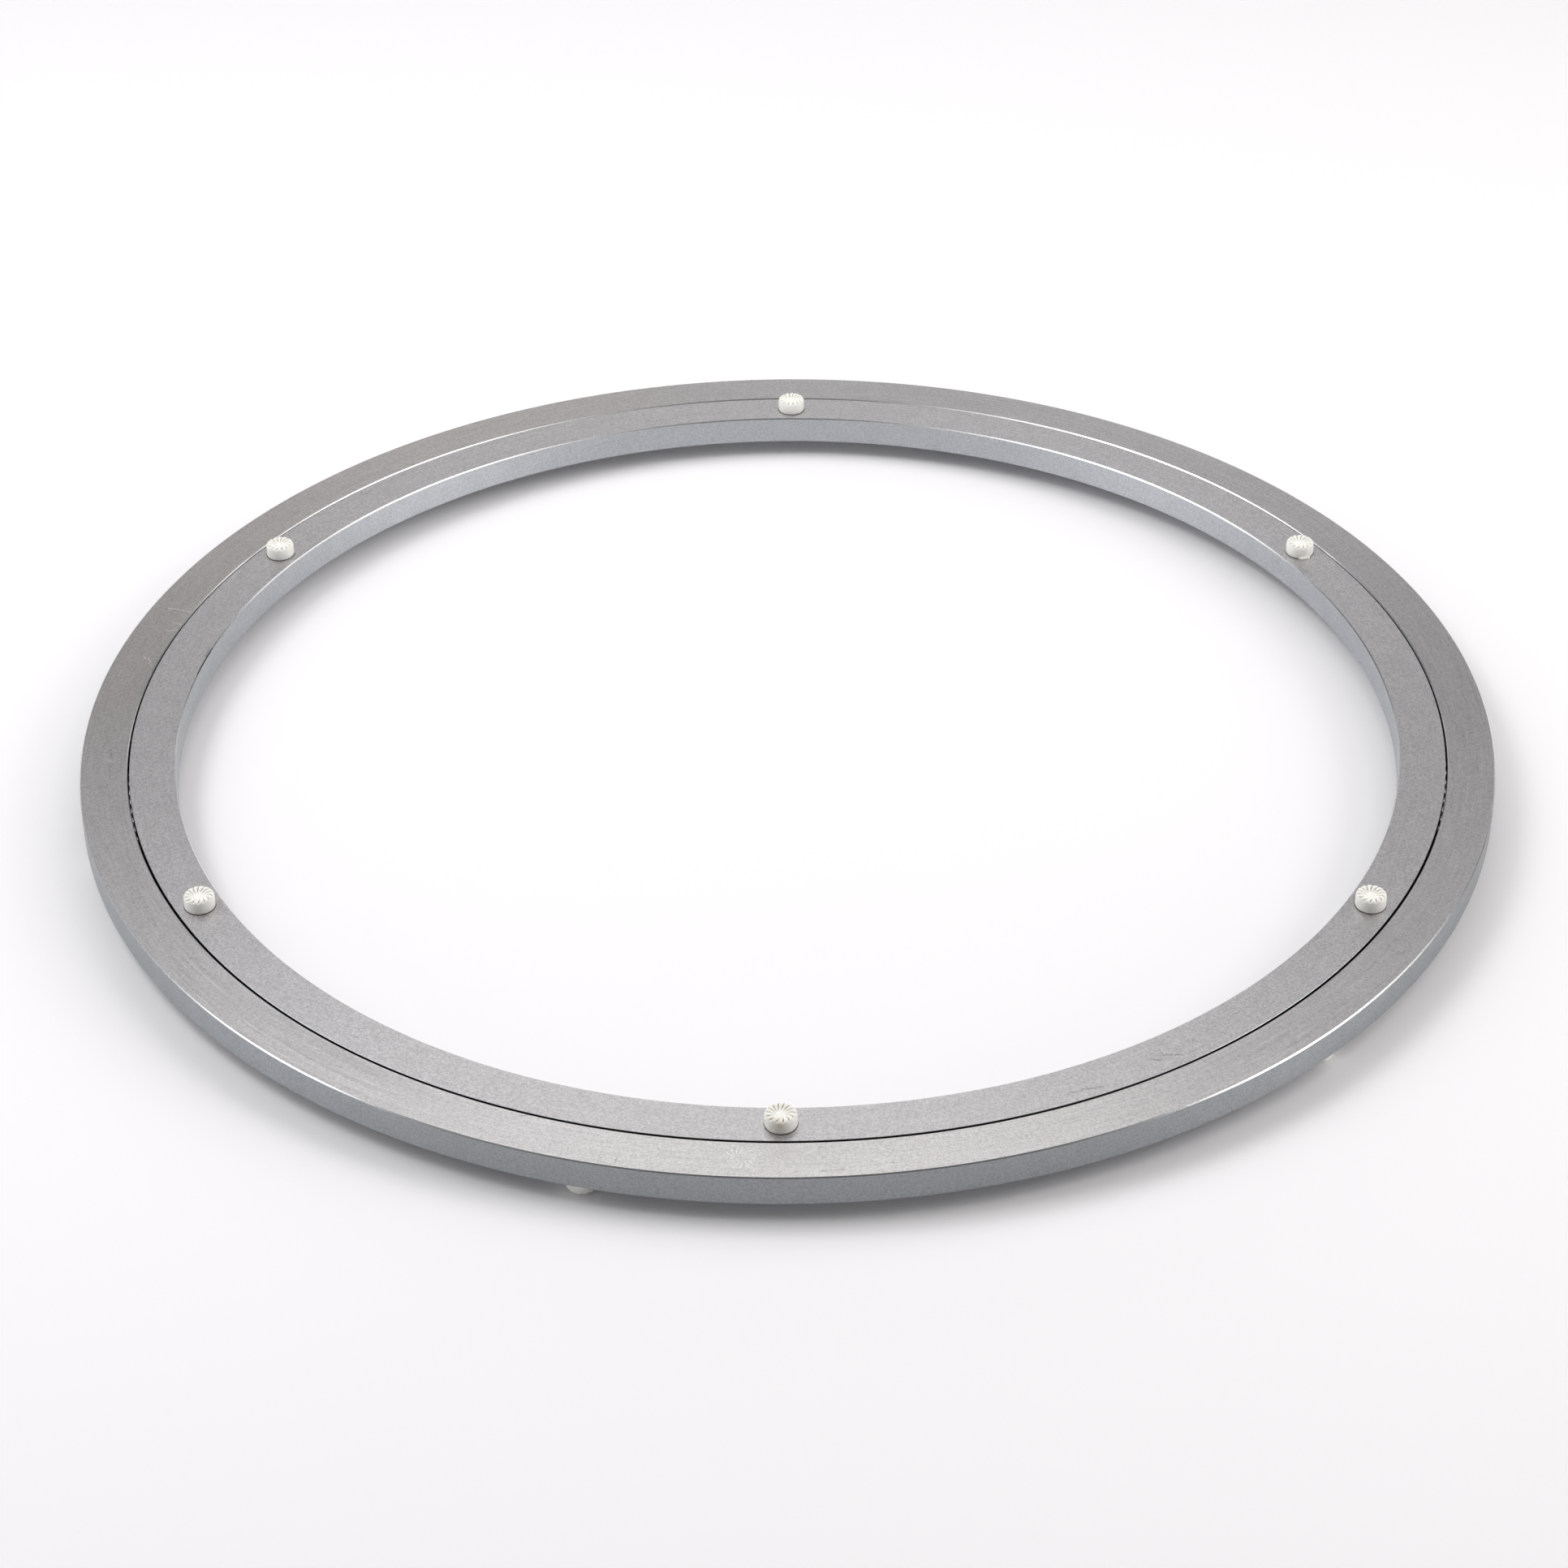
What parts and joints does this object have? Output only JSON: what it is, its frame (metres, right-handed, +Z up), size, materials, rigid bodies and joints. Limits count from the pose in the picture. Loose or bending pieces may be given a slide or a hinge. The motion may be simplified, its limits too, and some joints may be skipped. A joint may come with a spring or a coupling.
{
  "type": "lazy susan bearing",
  "caption": "Flat turntable bearing: two flush aluminium rings on a hidden row of steel balls, with moulded pads on the inner ring and moulded feet under the outer ring.",
  "frame": {"origin": "on the axis of rotation, at the level of the floor under the feet", "axes": "+Z up along the axis of rotation, -Y towards the viewer through the first top pad, +X to the right"},
  "size_m": [0.3999, 0.4, 0.0175],
  "materials": {
    "ring_aluminium": "fine turned, satin",
    "plug_aluminium": "satin",
    "ball_steel": "polished",
    "pad_plastic": "moulded, semi-matt ivory"
  },
  "bodies": {
    "base": {"outer_ring": "ring_aluminium", "fill_plug": "plug_aluminium", "foot_pad_1": "pad_plastic", "foot_pad_2": "pad_plastic", "foot_pad_3": "pad_plastic", "foot_pad_4": "pad_plastic", "foot_pad_5": "pad_plastic", "foot_pad_6": "pad_plastic"},
    "ball_train": {"ball_set_1": "ball_steel", "ball_set_2": "ball_steel", "ball_set_3": "ball_steel", "ball_set_4": "ball_steel", "ball_set_5": "ball_steel", "ball_set_6": "ball_steel"},
    "turntable": {"inner_ring": "ring_aluminium", "top_pad_1": "pad_plastic", "top_pad_2": "pad_plastic", "top_pad_3": "pad_plastic", "top_pad_4": "pad_plastic", "top_pad_5": "pad_plastic", "top_pad_6": "pad_plastic"}
  },
  "joints": [
    {"name": "ring_spin", "type": "hinge", "parent": "base", "child": "turntable", "pos_m": [0, 0, 0.00925], "axis": [0, 0, 1], "continuous": true},
    {"name": "ball_orbit", "type": "hinge", "parent": "base", "child": "ball_train", "pos_m": [0, 0, 0.00925], "axis": [0, 0, 1], "continuous": true}
  ],
  "couplings": [
    {"joint": "ball_orbit", "follows": "ring_spin", "ratio": 0.496}
  ]
}
